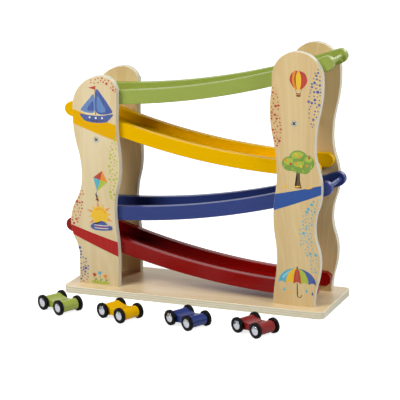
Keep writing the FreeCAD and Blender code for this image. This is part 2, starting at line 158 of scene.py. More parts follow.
def makeFloor(values):
    half = values["floorHalf"]
    mesh = bpy.data.meshes.new("floor")
    mesh.from_pydata([(-half, -half, 0), (half, -half, 0), (half, half, 0), (-half, half, 0)],
                     [], [(0, 1, 2, 3)])
    floor = newPiece("floor", mesh)
    # plain white card: lit softly, and lifted to white where the lens sees it
    paint, tree, where = newMaterial("white studio card")
    place = where["Object"]
    path = add(tree, "ShaderNodeLightPath")
    speck = add(tree, "ShaderNodeTexNoise", {}, {"Vector": place, "Scale": values["patchScale"]})
    tone = add(tree, "ShaderNodeMix", mixColours, [
        speck, values["floorPaint"], values["floorPatch"]])
    matt = add(tree, "ShaderNodeBsdfDiffuse", {}, [tone])
    away = add(tree, "ShaderNodeVectorMath", {"operation": "LENGTH"}, [place])
    lift = add(tree, "ShaderNodeMapRange", {}, [
        away.outputs["Value"], *values["floorReach"], *values["floorSeen"]])
    seen = add(tree, "ShaderNodeMath", {"operation": "MULTIPLY"}, [
        path.outputs["Is Camera Ray"], lift])
    glow = add(tree, "ShaderNodeMath", {"operation": "MULTIPLY_ADD"}, [
        path.outputs["Is Glossy Ray"], values["floorMirrored"], seen])
    light = add(tree, "ShaderNodeEmission", {}, ["#FFFFFF", glow])
    both = add(tree, "ShaderNodeAddShader", {}, [matt, light])
    add(tree, "ShaderNodeOutputMaterial", {}, [both])
    mesh.materials.append(paint)


# metal mirrors bright walls, lower in front than behind, and a dimmer ceiling
def makeWorld(values):
    world = bpy.data.worlds.new("studio")
    scene.world = world
    world.use_nodes = True
    tree = world.node_tree
    tree.nodes.clear()
    path = add(tree, "ShaderNodeLightPath")
    way = add(tree, "ShaderNodeTexCoord")
    apart = add(tree, "ShaderNodeSeparateXYZ", {}, [way.outputs["Generated"]])
    skyline = add(tree, "ShaderNodeMapRange", {}, [
        apart.outputs["Y"], *values["worldTurn"], *values["worldSkyline"]])
    above = add(tree, "ShaderNodeMath", {"operation": "SUBTRACT"}, [apart.outputs["Z"], skyline])
    walls = add(tree, "ShaderNodeMapRange", {}, [
        above, 0.0, values["worldFade"], values["worldMirrored"], values["worldOverhead"]])
    mirrored = add(tree, "ShaderNodeMix", {}, [
        path.outputs["Is Glossy Ray"], values["worldFill"], walls])
    seen = add(tree, "ShaderNodeMix", {}, [
        path.outputs["Is Camera Ray"], mirrored, values["worldSeen"]])
    sky = add(tree, "ShaderNodeBackground", {}, ["#FFFFFF", seen])
    add(tree, "ShaderNodeOutputWorld", {}, [sky])


def makeLamps(values):
    middle = Vector((0, 0, values["lampHeight"]))
    for name, lamp in values["lamps"].items():
        light = bpy.data.lights.new(name, "AREA")
        light.shape = "DISK"
        light.size = lamp["size"]
        light.energy = lamp["power"]
        light.color = linear(lamp["colour"])[:3]
        around, up = radians(lamp["around"]), radians(lamp["up"])
        way = Vector((sin(around) * cos(up), -cos(around) * cos(up), sin(up)))
        holder = newPiece(name, light)
        holder.matrix_world = (Matrix.Translation(middle + way * lamp["far"])
                               @ way.to_track_quat("Z", "Y").to_matrix().to_4x4())


makeFloor(studio)
makeWorld(studio)
makeLamps(studio)
scene.view_settings.view_transform = "Standard"
print("studio made")

# Materials. A pattern's scale is cells in a metre, before it is stretched along the grain, and a
# span is where a value starts and ends to count, with how much it then counts for

noiseSpan = (0.3, 0.7)

# along and through are the axes of the grain and of the plies, which start and repeat in metres
panel = {"along": 2, "through": 1, "start": 0.03225, "pitch": 0.0016, "gloss": 0.15,
         "edgeLight": "#E6E3D3", "edgeDark": "#CFC8B2", "rough": 0.42}
birches = {
    "pale": {**panel, "light": "#E0D0A8", "dark": "#D5BD8F", "line": "#E8DCBB", "pore": "#B08A58"},
    "warm": {**panel, "light": "#DDC592", "dark": "#D1B17D", "line": "#E5D3A8", "pore": "#A9804C"},
    "base": {"along": 0, "through": 2, "start": 0, "pitch": 0.00143, "gloss": 0.5,
             "light": "#ECD9B0", "dark": "#E1C799", "line": "#F1E4C6", "pore": "#A9804C",
             "edgeLight": "#E9E5D0", "edgeDark": "#CBC1A2", "rough": 0.3},
    "dowel": {"along": 1, "through": None, "gloss": 0.3, "light": "#E3CC9B", "dark": "#C9A873",
              "line": "#EADBB4", "pore": "#9F7846", "rough": 0.45},
}

# what all birch shares: its fibres are under 0.1 mm wide, so they are drawn 1 mm wide to show
grain = {
    "stretch": {"flame": 0.1, "fibre": 0.02, "pore": 0.07},
    "drift": {"Scale": 14, "Detail": 2},
    "bend": (0.04, 0.04, 0.04),
    "figure": {"Scale": 22, "Detail": 1},
    "waves": 90,
    "ringSpan": (0.3, 1),
    "rings": 0.24,
    "broad": {"Scale": 34, "Detail": 1.6, "Roughness": 0.45},
    "fibre": {"Scale": 1100, "Detail": 3, "Roughness": 0.7},
    "fibres": 0.16,
    "shadeSpan": (0.36, 0.8),
    "pore": {"Scale": 700, "Detail": 1},
    "poreSpan": (0.72, 0.84, 0, 0.14),
    "faceSpan": (0.6, 0.8),
    "bandEdge": 0.05 * mm,
    "bandInk": (0.97, 1),
    "plySpan": (0.96, 1.04, 0, 0.55),
    "plyStain": {"Scale": 500, "Detail": 3},
    "stains": 0.5,
    "cutSpan": (0.8, 0.5),
    "swell": 0.4,
    "relief": {"Strength": 0.2, "Distance": 0.04 * mm},
    "roughSpan": (-0.05, 0.06),
}

# printed bands that carry a ramp's curve over a tower: each lies between two circles, in mm
bands = {
    "left": [
        {"ink": "#E4AC00", "over": (147.8, 1227.8, 1026.8), "under": (183.6, 1216.7, 1046.5)},
        {"ink": "#AD2729", "over": (137.5, 1070.0, 1027.5), "under": (240.6, 1035.9, 1044)}],
    "right": [
        {"ink": "#34589F", "over": (-103.4, 1160.2, 1025), "under": (-235.5, 1118.5, 1041.5)}],
}


# birch: soft shading, pale curved lines and fine fibres along the grain, plies where it is cut
def birch(name, values, printed=(), outward=0):
    made, tree, where = newMaterial(name)
    place = where["Object"]
    stretch = {}
    for key, factor in grain["stretch"].items():
        scale = [1, 1, 1]
        scale[values["along"]] = factor
        stretch[key] = add(tree, "ShaderNodeMapping", {}, {"Vector": place, "Scale": scale})
    drift = add(tree, "ShaderNodeTexNoise", {}, {"Vector": stretch["flame"], **grain["drift"]})
    bent = add(tree, "ShaderNodeVectorMath", {"operation": "MULTIPLY_ADD"}, [
        drift.outputs["Color"], grain["bend"], stretch["flame"]])
    figure = add(tree, "ShaderNodeTexNoise", {}, {"Vector": bent, **grain["figure"]})
    turns = add(tree, "ShaderNodeMath", {"operation": "MULTIPLY"}, [figure, grain["waves"]])
    waves = add(tree, "ShaderNodeMath", {"operation": "SINE"}, [turns])
    rings = add(tree, "ShaderNodeMapRange", {}, [waves, *grain["ringSpan"]])
    broad = add(tree, "ShaderNodeTexNoise", {}, {"Vector": bent, **grain["broad"]})
    fibre = add(tree, "ShaderNodeTexNoise", {}, {"Vector": stretch["fibre"], **grain["fibre"]})
    pore = add(tree, "ShaderNodeTexNoise", {}, {"Vector": stretch["pore"], **grain["pore"]})
    pores = add(tree, "ShaderNodeMapRange", {}, [pore, *grain["poreSpan"]])
    mixed = add(tree, "ShaderNodeMath", {"operation": "MULTIPLY_ADD"}, [
        fibre, grain["fibres"], broad])
    shade = add(tree, "ShaderNodeMapRange", {}, [mixed, *grain["shadeSpan"]])
    face = add(tree, "ShaderNodeMix", mixColours, [shade, values["light"], values["dark"]])
    faint = add(tree, "ShaderNodeMath", {"operation": "MULTIPLY"}, [rings, grain["rings"]])
    lined = add(tree, "ShaderNodeMix", mixColours, [faint, face, values["line"]])
    colour = add(tree, "ShaderNodeMix", mixColours, [pores, lined, values["pore"]])
    apart = add(tree, "ShaderNodeSeparateXYZ", {}, [place])
    tilt = add(tree, "ShaderNodeSeparateXYZ", {}, [where["Normal"]])
    glint = "#FFFFFF"

    for band in printed:
        flat = add(tree, "ShaderNodeCombineXYZ", {}, {
            "X": apart.outputs["X"], "Z": apart.outputs["Z"]})
        cover = add(tree, "ShaderNodeMapRange", {}, [
            tilt.outputs["Y"], *(turn * outward for turn in grain["faceSpan"])])
        for key, out, into in (("over", 0, 1), ("under", 1, 0)):
            x, z, radius = [v * mm for v in band[key]]
            reach = add(tree, "ShaderNodeVectorMath", {"operation": "DISTANCE"}, [flat, (x, 0, z)])
            rim = [radius - grain["bandEdge"], radius + grain["bandEdge"]]
            inside = add(tree, "ShaderNodeMapRange", {}, [reach.outputs["Value"], *rim, out, into])
            cover = add(tree, "ShaderNodeMath", {"operation": "MULTIPLY"}, [cover, inside])
        thin = add(tree, "ShaderNodeMapRange", {}, [fibre, *noiseSpan, *grain["bandInk"]])
        laid = add(tree, "ShaderNodeMath", {"operation": "MULTIPLY"}, [cover, thin])
        colour = add(tree, "ShaderNodeMix", mixColours, [laid, colour, band["ink"]])
        glint = add(tree, "ShaderNodeMix", mixColours, [laid, glint, band["ink"]])

    if values["through"] is not None:
        axis = "XYZ"[values["through"]]
        depth = add(tree, "ShaderNodeMath", {"operation": "ABSOLUTE"}, [apart.outputs[axis]])
        inner = add(tree, "ShaderNodeMath", {"operation": "SUBTRACT"}, [depth, values["start"]])
        ply = add(tree, "ShaderNodeMath", {"operation": "DIVIDE"}, [inner, values["pitch"]])
        pair = add(tree, "ShaderNodeMath", {"operation": "FLOORED_MODULO"}, [ply, 2])
        crossed = add(tree, "ShaderNodeMapRange", {}, [pair, *grain["plySpan"]])
        stain = add(tree, "ShaderNodeTexNoise", {}, {
            "Vector": stretch["pore"], **grain["plyStain"]})
        toned = add(tree, "ShaderNodeMath", {"operation": "MULTIPLY_ADD"}, [
            stain, grain["stains"], crossed])
        layers = add(tree, "ShaderNodeMix", mixColours, [
            toned, values["edgeLight"], values["edgeDark"]])
        level = add(tree, "ShaderNodeMath", {"operation": "ABSOLUTE"}, [tilt.outputs[axis]])
        cut = add(tree, "ShaderNodeMapRange", {}, [level, *grain["cutSpan"]])
        colour = add(tree, "ShaderNodeMix", mixColours, [cut, colour, layers])

    height = add(tree, "ShaderNodeMath", {"operation": "MULTIPLY_ADD"}, [
        broad, grain["swell"], fibre])
    relief = add(tree, "ShaderNodeBump", {}, {"Height": height, **grain["relief"]})
    dull = add(tree, "ShaderNodeMapRange", {}, [
        fibre, *noiseSpan, *(values["rough"] + more for more in grain["roughSpan"])])
    surface = add(tree, "ShaderNodeBsdfPrincipled", {}, {
        "Base Color": colour, "Roughness": dull, "Normal": relief,
        "Specular IOR Level": values["gloss"], "Specular Tint": glint})
    add(tree, "ShaderNodeOutputMaterial", {}, [surface])
    return made


# how far a surface faces the same way within a short reach: 1 on a flat, less along an edge
def flatness(tree, reach):
    rounded = add(tree, "ShaderNodeBevel", {"samples": 4}, {"Radius": reach})
    here = add(tree, "ShaderNodeNewGeometry")
    match = add(tree, "ShaderNodeVectorMath", {"operation": "DOT_PRODUCT"}, [
        rounded, here.outputs["Normal"]])
    return match.outputs["Value"]


# each paint's paler edge colour is part wear and part painted highlight
paints = {
    "green_lacquer": {"paint": "#95A54A", "deep": "#90A144", "worn": "#B9C689", "gloss": 0.4,
                      "rough": 0.36},
    "yellow_lacquer": {"paint": "#E8B500", "deep": "#E5B100", "worn": "#EFCB62", "gloss": 0.08,
                       "glint": "#FFD24A"},
    "blue_lacquer": {"paint": "#31417E", "deep": "#2E3D7A", "worn": "#7F8FCB", "gloss": 0.38,
                     "rough": 0.32, "glint": "#BECBFF"},
    "red_lacquer": {"paint": "#8B0400", "deep": "#850300", "worn": "#A4514C", "gloss": 0.22},
    "green_car_paint": {"paint": "#9FAE4B", "deep": "#97A740", "worn": "#C3CE92", "gloss": 0.5},
    "yellow_car_paint": {"paint": "#E7B300", "deep": "#E2AB00", "worn": "#F0CF66", "gloss": 0.12,
                         "glint": "#FFD24A"},
    "blue_car_paint": {"paint": "#2B3C7D", "deep": "#263676", "worn": "#6D7BAE", "gloss": 0.35},
    "red_car_paint": {"paint": "#8C2220", "deep": "#841D1B", "worn": "#B0605A", "gloss": 0.25},
}

# what lacquers share unless a paint says otherwise: real peel is finer than the 0.7 mm drawn here
satin = {
    "rough": 0.26,
    "glint": "#FFFFFF",
    "stretch": 0.03,
    "fibre": {"Scale": 900, "Detail": 3},
    "cloud": {"Scale": 120, "Detail": 2},
    "peel": {"Scale": 1500, "Detail": 1},
    "edge": 0.7 * mm,
    "wornSpan": (0.99, 0.8, 0, 0.3),
    "peelHeight": 0.3,
    "relief": {"Strength": 0.25, "Distance": 0.04 * mm},
    "roughSpan": (-0.03, 0.03),
}

# how far each car is turned from the ramp, in degrees, so that its grain runs along it
carTurns = {"green": 27.2, "yellow": 24.7, "blue": 26.9, "red": 25.7}


# satin lacquer over wood: even colour, faint grain under it, paler along the edges from wear and a painted
# highlight
def lacquer(name, values, car, turn):
    values = {**satin, **values}
    made, tree, where = newMaterial(name)
    place = where["Object"]
    straight = add(tree, "ShaderNodeMapping", {}, {
        "Vector": place, "Rotation": (0, 0, radians(turn))})
    scale = (1, values["stretch"], 1) if car else (values["stretch"], 1, 1)
    along = add(tree, "ShaderNodeMapping", {}, {"Vector": straight, "Scale": scale})
    fibre = add(tree, "ShaderNodeTexNoise", {}, {"Vector": along, **values["fibre"]})
    cloud = add(tree, "ShaderNodeTexNoise", {}, {"Vector": along, **values["cloud"]})
    peel = add(tree, "ShaderNodeTexNoise", {}, {"Vector": place, **values["peel"]})
    base = add(tree, "ShaderNodeMix", mixColours, [cloud, values["paint"], values["deep"]])
    # wear and painted highlight: the edges that the bevel finds are mixed towards the paler colour
    edge = add(tree, "ShaderNodeMapRange", {}, [
        flatness(tree, values["edge"]), *values["wornSpan"]])
    wearAndHighlightMask = add(tree, "ShaderNodeMath", {"operation": "MULTIPLY"}, [edge, fibre])
    colour = add(tree, "ShaderNodeMix", mixColours, [wearAndHighlightMask, base, values["worn"]])
    height = add(tree, "ShaderNodeMath", {"operation": "MULTIPLY_ADD"}, [
        peel, values["peelHeight"], fibre])
    relief = add(tree, "ShaderNodeBump", {}, {"Height": height, **values["relief"]})
    dull = add(tree, "ShaderNodeMapRange", {}, [
        cloud, *noiseSpan, *(values["rough"] + more for more in values["roughSpan"])])
    surface = add(tree, "ShaderNodeBsdfPrincipled", {}, {
        "Base Color": colour, "Roughness": dull, "Normal": relief,
        "Specular IOR Level": values["gloss"], "Specular Tint": values["glint"]})
    add(tree, "ShaderNodeOutputMaterial", {}, [surface])
    return made


# each metal's edge colour is mixed in along its edges and corners, part grime and part painted shade, within the
# reach given beside it
metals = {
    "hub_silver": {"light": "#D6D9E2", "dark": "#C6CAD4", "edge": "#B4B8C2", "rough": 0.2,
                   "scale": 2600, "grime": 0.35 * mm},
    # screws: the wide reach darkens the head's rim as painted shade, and the edge colour also fills the cross
    # recess as painted shade
    "screw_steel": {"light": "#E6E5E0", "dark": "#CFCDC6", "edge": "#57544C", "rough": 0.3,
                    "scale": 1800, "grime": 1.1 * mm, "recess": (41.5 * mm, 41 * mm)},
    "axle_steel": {"light": "#D0D0D2", "dark": "#B4B4B8", "edge": "#8E8E94", "rough": 0.3,
                   "scale": 2200, "grime": 0.35 * mm},
}

# what metals share: scratches are drawn about 0.4 mm apart, coarser than real ones, to show
polish = {
    "lay": {"Scale": (1, 1, 0.15), "Rotation": (0.3, 0.2, 0.6)},
    "scratchDetail": 3,
    "stain": {"Scale": 260, "Detail": 2},
    "grimeSpan": (0.98, 0.75, 0, 0.8),
    "relief": {"Strength": 0.15, "Distance": 0.02 * mm},
    "roughSpan": (-0.05, 0.08),
}


# bright metal with fine scratches and a little tarnish, darker along its edges from grime and painted shade, and
# in recesses from painted shade
def metal(name, values):
    made, tree, where = newMaterial(name)
    place = where["Object"]
    lay = add(tree, "ShaderNodeMapping", {}, {"Vector": place, **polish["lay"]})
    scratch = add(tree, "ShaderNodeTexNoise", {}, {
        "Vector": lay, "Scale": values["scale"], "Detail": polish["scratchDetail"]})
    stain = add(tree, "ShaderNodeTexNoise", {}, {"Vector": place, **polish["stain"]})
    colour = add(tree, "ShaderNodeMix", mixColours, [stain, values["light"], values["dark"]])
    # grime and painted shade: darker where the bevel finds an edge or a corner
    grime = add(tree, "ShaderNodeMapRange", {}, [
        flatness(tree, values["grime"]), *polish["grimeSpan"]])
    # painted shade in the screw's cross recess: darker the deeper it goes
    if "recess" in values:
        apart = add(tree, "ShaderNodeSeparateXYZ", {}, [place])
        depth = add(tree, "ShaderNodeMath", {"operation": "ABSOLUTE"}, [apart.outputs["Y"]])
        sunk = add(tree, "ShaderNodeMapRange", {}, [depth, *values["recess"]])
        grime = add(tree, "ShaderNodeMath", {"operation": "MAXIMUM"}, [grime, sunk])
    colour = add(tree, "ShaderNodeMix", mixColours, [grime, colour, values["edge"]])
    dull = add(tree, "ShaderNodeMapRange", {}, [
        scratch, *noiseSpan, *(values["rough"] + more for more in polish["roughSpan"])])
    relief = add(tree, "ShaderNodeBump", {}, {"Height": scratch, **polish["relief"]})
    surface = add(tree, "ShaderNodeBsdfPrincipled", {}, {
        "Base Color": colour, "Metallic": 1.0, "Roughness": dull, "Normal": relief})
    add(tree, "ShaderNodeOutputMaterial", {}, [surface])
    return made


# pits are drawn about 0.3 mm wide so that they show
moulded = {
    "dark": "#070708",
    "pale": "#0F0F10",
    "pits": {"Scale": 3000, "Detail": 3},
    "rubbed": {"Scale": 300, "Detail": 3},
    "relief": {"Strength": 0.4, "Distance": 0.04 * mm},
    "rough": (0.3, 0.42),
    "gloss": 0.13,
}


# dark rubber: matt, finely pitted, a little paler where it is rubbed
def rubber(name, values):
    made, tree, where = newMaterial(name)
    place = where["Object"]
    pits = add(tree, "ShaderNodeTexNoise", {}, {"Vector": place, **values["pits"]})
    rubbed = add(tree, "ShaderNodeTexNoise", {}, {"Vector": place, **values["rubbed"]})
    colour = add(tree, "ShaderNodeMix", mixColours, [rubbed, values["dark"], values["pale"]])
    relief = add(tree, "ShaderNodeBump", {}, {"Height": pits, **values["relief"]})
    dull = add(tree, "ShaderNodeMapRange", {}, [rubbed, *noiseSpan, *values["rough"]])
    surface = add(tree, "ShaderNodeBsdfPrincipled", {}, {
        "Base Color": colour, "Roughness": dull, "Normal": relief,
        "Specular IOR Level": values["gloss"]})
    add(tree, "ShaderNodeOutputMaterial", {}, [surface])
    return made


finishes = {"base_wood": birch("birch plywood, varnished", birches["base"]),
            "dowel_wood": birch("turned birch", birches["dowel"]),
            "tyre_rubber": rubber("black rubber", moulded)}
for slotName, values in paints.items():
    car = "car" in slotName
    finishes[slotName] = lacquer(slotName.replace("_", " "), values, car,
                                 carTurns[slotName.split("_")[0]] if car else 0)
for slotName, values in metals.items():
    finishes[slotName] = metal(slotName.replace("_", " "), values)

for part in frame["record"]["subparts"]:
    node = part["node"]
    if part["material_slot"] == "panel_wood":
        tower, _, face = node.split("_")
        sheet = "pale" if node == "left_panel_front" else "warm"
        finish = birch("printed birch plywood, " + tower + " " + face, birches[sheet],
                       bands[tower], -1 if face == "front" else 1)
    else:
        finish = finishes[part["material_slot"]]
    shown = frame["nodes"][node]
    if not shown.material_slots:
        shown.data.materials.append(finish)
    for place in shown.material_slots:
        place.material = finish
print("materials made")

# Inks

inks = {
    "red": "#B5302B", "orange": "#E58A1E", "yellow": "#EDBE22", "lime": "#A9BC3F",
    "green": "#6E9A3A", "cyan": "#3FAECB", "paleCyan": "#8CD0DC", "blue": "#2C529F",
    "paleBlue": "#5A83BC", "navy": "#26345F", "white": "#F1EBDD", "brown": "#5A4334",
}

# fibres as coarse as those of the birch; wood is the colour that shows where the ink is thin
screen = {
    "stretch": (1, 1, 0.03),
    "fibre": {"Scale": 1100, "Detail": 3},
    "thinSpan": (0.35, 0.7, 0, 0.16),
    "paleSpan": (0.6, 1, 0, 0.22),
    "wood": "#DCC494",
    "rough": 0.45,
    "gloss": 0.3,
}


# screen ink on varnish: flat colour, a little thin over the fibres, each dot with its own tone
def ink(name, code, varied):
    made, tree, where = newMaterial("screen ink, " + name)
    along = add(tree, "ShaderNodeMapping", {}, {
        "Vector": where["Object"], "Scale": screen["stretch"]})
    fibre = add(tree, "ShaderNodeTexNoise", {}, {"Vector": along, **screen["fibre"]})
    thin = add(tree, "ShaderNodeMapRange", {}, [fibre, *screen["thinSpan"]])
    if varied:
        tone = add(tree, "ShaderNodeAttribute", {"attribute_name": "tone"}, {})
        pale = add(tree, "ShaderNodeMapRange", {}, [tone.outputs["Fac"], *screen["paleSpan"]])
        thin = add(tree, "ShaderNodeMath", {"operation": "ADD"}, [thin, pale])
    colour = add(tree, "ShaderNodeMix", mixColours, [thin, code, screen["wood"]])
    surface = add(tree, "ShaderNodeBsdfPrincipled", {}, {
        "Base Color": colour, "Roughness": screen["rough"], "Specular IOR Level": screen["gloss"]})
    add(tree, "ShaderNodeOutputMaterial", {}, [surface])
    return made


printInks = {name: ink(name, code, False) for name, code in inks.items()}
dotInks = {name: ink(name + " dots", inks[name], True) for name in ("red", "lime", "blue", "cyan")}

# Scattered dots: a tree of nodes drops small discs of ink on a patch of a panel's face

scatter = {
    "Density": 260000.0,
    "Smallest": 0.95 * mm,
    "Largest": 2.3 * mm,
    "Height": 0.12 * mm,
    "sides": 16,
    "rarity": 4,  # the higher, the fewer dots are large
    "toneSeed": 7,
}


# a tree of geometry nodes, with named inputs beside the geometry, each of a type such as Float
def newTree(name, inputs):
    tree = bpy.data.node_groups.new(name, "GeometryNodeTree")
    for label, kind in {"Geometry": "Geometry", **inputs}.items():
        tree.interface.new_socket(label, in_out="INPUT", socket_type="NodeSocket" + kind)
    tree.interface.new_socket("Geometry", in_out="OUTPUT", socket_type="NodeSocketGeometry")
    return tree, add(tree, "NodeGroupInput").outputs


def dotTree():
    tree, given = newTree("scattered dots", {
        "Spacing": "Float", "Density": "Float", "Smallest": "Float", "Largest": "Float",
        "Height": "Float", "Seed": "Int", "Ink": "Material"})
    points = add(tree, "GeometryNodeDistributePointsOnFaces", {"distribute_method": "POISSON"}, {
        "Mesh": given["Geometry"], "Distance Min": given["Spacing"],
        "Density Max": given["Density"], "Seed": given["Seed"]})
    chance = add(tree, "FunctionNodeRandomValue", {"data_type": "FLOAT"}, {
        "Min": 0.0, "Max": 1.0, "Seed": given["Seed"]})
    few = add(tree, "ShaderNodeMath", {"operation": "POWER"}, [chance, scatter["rarity"]])
    size = add(tree, "ShaderNodeMapRange", {}, {
        "Value": few, "To Min": given["Smallest"], "To Max": given["Largest"]})
    scale = add(tree, "ShaderNodeCombineXYZ", {}, [size, size, 1.0])
    disc = add(tree, "GeometryNodeMeshCylinder", {}, {
        "Vertices": scatter["sides"], "Radius": 1.0, "Depth": given["Height"]})
    dots = add(tree, "GeometryNodeInstanceOnPoints", {}, {
        "Points": points, "Instance": disc.outputs["Mesh"], "Rotation": (pi / 2, 0, 0),
        "Scale": scale})
    tone = add(tree, "FunctionNodeRandomValue", {"data_type": "FLOAT"}, {
        "Min": 0.0, "Max": 1.0, "Seed": scatter["toneSeed"]})
    marked = add(tree, "GeometryNodeStoreNamedAttribute", {
        "data_type": "FLOAT", "domain": "INSTANCE"}, {
        "Geometry": dots, "Name": "tone", "Value": tone})
    real = add(tree, "GeometryNodeRealizeInstances", {}, {"Geometry": marked})
    inked = add(tree, "GeometryNodeSetMaterial", {}, {"Geometry": real, "Material": given["Ink"]})
    add(tree, "NodeGroupOutput", {}, {"Geometry": inked})
    return tree


# runs a tree on a piece and keeps what it makes as the piece's plain mesh
def grow(piece, tree, values):
    modifier = piece.modifiers.new("grow", "NODES")
    modifier.node_group = tree
    for item in tree.interface.items_tree:
        if item.in_out == "INPUT" and item.name in values:
            modifier[item.identifier] = values[item.name]
    bpy.context.view_layer.update()
    seen = piece.evaluated_get(bpy.context.evaluated_depsgraph_get())
    mesh = bpy.data.meshes.new_from_object(seen)
    piece.modifiers.clear()
    piece.data = mesh


flatNormal = 0.999
flatReach = 0.01 * mm


# the flat outer face of a panel: where it stands, and its two borders at a height
class Face:
    def __init__(self, node):
        mesh = frame["nodes"][node].data
        self.outward = -1 if node.endswith("front") else 1
        flat = [p for p in mesh.polygons if p.normal.y * self.outward > flatNormal]
        self.y = self.outward * max(abs(p.center.y) for p in flat)
        flat = [p for p in flat if abs(p.center.y - self.y) < flatReach]
        self.rims = []
        for p in flat:
            corners = [mesh.vertices[i].co for i in p.vertices]
            self.rims += list(zip(corners, corners[1:] + corners[:1]))

    def borders(self, z):
        xs = [a.x + (b.x - a.x) * (z - a.z) / (b.z - a.z)
              for a, b in self.rims if min(a.z, b.z) <= z <= max(a.z, b.z) and a.z != b.z]
        return min(xs), max(xs)


faces = {tower + "_" + face: Face(tower + "_panel_" + face)
         for tower in ("left", "right") for face in ("front", "back")}

# patches of dots in mm: rows of height and of distances from one border, or an outline of x and z
patches = {
    "left_crown_dots": {"tower": "left", "ink": "red", "seed": 3, "spacing": 3.3,
                        "outline": [(-147, 291), (-140, 294.5), (-128, 296.5), (-118, 294),
                                    (-110, 287), (-106, 279), (-109, 275), (-114, 282),
                                    (-122, 288), (-132, 289.5), (-144, 286.5)]},
    "left_middle_dots": {"tower": "left", "ink": "lime", "seed": 5, "spacing": 3.8,
                         "border": "right",
                         "rows": [(218, 0.8, 4), (206, 1.5, 9), (190, 3, 14), (170, 2, 14),
                                  (152, 1.5, 11), (136, 1.2, 8), (128, 1, 4)]},
    "left_lower_dots": {"tower": "left", "ink": "red", "seed": 8, "spacing": 3.7, "border": "left",
                        "rows": [(142, 1.5, 4), (130, 1.5, 8), (116, 1.5, 13), (102, 1.2, 14),
                                 (94, 1.2, 8)]},
    "left_foot_dots": {"tower": "left", "ink": "blue", "seed": 12, "spacing": 3.4, "border": "left",
                       "rows": [(62, 1, 4), (48, 1, 8), (32, 1, 13), (20, 1, 12), (13, 1, 8)]},
    "right_upper_dots": {"tower": "right", "ink": "red", "seed": 15, "spacing": 3.5,
                         "border": "left",
                         "rows": [(298, 0.8, 4), (284, 1, 10), (266, 1, 13), (246, 1, 13),
                                  (230, 1, 9), (222, 0.8, 4)]},
    "right_top_dots": {"tower": "right", "ink": "blue", "seed": 21, "spacing": 3.6,
                       "border": "right",
                       "rows": [(326, 1, 5), (310, 1, 12), (292, 1, 17), (274, 1, 15), (258, 1, 10),
                                (250, 1, 5)]},
    "right_lower_dots": {"tower": "right", "ink": "cyan", "seed": 27, "spacing": 3.6,
                         "border": "right",
                         "rows": [(156, 1.5, 6), (140, 3, 17), (118, 3, 19), (96, 5, 22),
                                  (74, 2, 14), (56, 1.5, 9)]},
}


def patchOutline(patch, face):
    if "outline" in patch:
        return patch["outline"]
    near, far = [], []
    for z, start, end in patch["rows"]:
        left, right = [x / mm for x in face.borders(z * mm)]
        edge, inwards = (left, 1) if patch["border"] == "left" else (right, -1)
        near.append((edge + inwards * start, z))
        far.append((edge + inwards * end, z))
    return near + far[::-1]


def makeDots():
    tree = dotTree()
    for name, patch in patches.items():
        for side in ("front", "back"):
            face = faces[patch["tower"] + "_" + side]
            mesh = bpy.data.meshes.new(name)
            corners = [(x * mm, face.y, z * mm) for x, z in patchOutline(patch, face)]
            mesh.from_pydata(corners, [], [list(range(len(corners)))])
            piece = newPiece(name + "_" + side, mesh)
            grow(piece, tree, {
                **scatter, "Spacing": patch["spacing"] * mm, "Seed": patch["seed"],
                "Ink": dotInks[patch["ink"]]})
            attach(piece, "ramp")


makeDots()
print("dots scattered")

# Printed motifs: flat shapes of ink in layers on the panels' faces, all in mm

# how far the first layer of ink stands out, what each next one adds, and how deep its foot goes
film = {"proud": 0.05, "layer": 0.004, "foot": 0.03}


def oval(x, z, wide, high, tilt=0, count=40):
    turn = radians(tilt)
    points = []
    for i in range(count):
        a = 2 * pi * i / count
        u, w = wide * cos(a), high * sin(a)
        points.append((x + u * cos(turn) - w * sin(turn),
                       z + u * sin(turn) + w * cos(turn)))
    return points


def moved(x, z, points):
    return [(x + u, z + w) for u, w in points]


# a smooth closed outline through a few points
def smooth(points, steps=8):
    count = len(points)
    outline = []
    for i in range(count):
        p = [Vector(points[(i + k - 1) % count]) for k in range(4)]
        for s in range(steps):
            t = s / steps
            outline.append(tuple(0.5 * ((2 * p[1]) + (p[2] - p[0]) * t
                           + (2 * p[0] - 5 * p[1] + 4 * p[2] - p[3]) * t * t
                           + (3 * p[1] - p[0] - 3 * p[2] + p[3]) * t ** 3)))
    return outline


# a thin stroke along a line of points
def stroke(points, width):
    left, right = [], []
    for i, point in enumerate(points):
        before, after = Vector(points[max(i - 1, 0)]), Vector(points[min(i + 1, len(points) - 1)])
        way = (after - before).normalized()
        side = Vector((-way.y, way.x)) * width / 2
        left.append(tuple(Vector(point) + side))
        right.append(tuple(Vector(point) - side))
    return left + right[::-1]


def ring(x, z, outer, inner, start, end, count=24):
    angles = [radians(start + (end - start) * i / count) for i in range(count + 1)]
    out = [(x + outer * cos(a), z + outer * sin(a)) for a in angles]
    back = [(x + inner * cos(a), z + inner * sin(a)) for a in reversed(angles)]
    return out + back


def printMotif(name, face, shapes):
    mesh = bpy.data.meshes.new(name)
    bm = bmesh.new()
    used = []
    for layer, (inkName, outline) in enumerate(shapes):
        if inkName not in used:
            used.append(inkName)
            mesh.materials.append(printInks[inkName])
        area = sum(a[0] * b[1] - b[0] * a[1] for a, b in zip(outline, outline[1:] + outline[:1]))
        if area * face.outward > 0:
            outline = outline[::-1]
        lift = (film["proud"] + film["layer"] * layer) * mm
        top = [bm.verts.new((x * mm, face.y + face.outward * lift, z * mm)) for x, z in outline]
        foot = [bm.verts.new((x * mm, face.y - face.outward * film["foot"] * mm, z * mm))
                for x, z in outline]
        made = [bm.faces.new(top), bm.faces.new(foot[::-1])]
        for i in range(len(outline)):
            j = (i + 1) % len(outline)
            made.append(bm.faces.new((top[j], top[i], foot[i], foot[j])))
        for one in made:
            one.material_index = used.index(inkName)
        bmesh.ops.triangulate(bm, faces=made[:2], ngon_method="EAR_CLIP")
    bm.to_mesh(mesh)
    bm.free()
    piece = newPiece(name, mesh)
    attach(piece, "ramp")


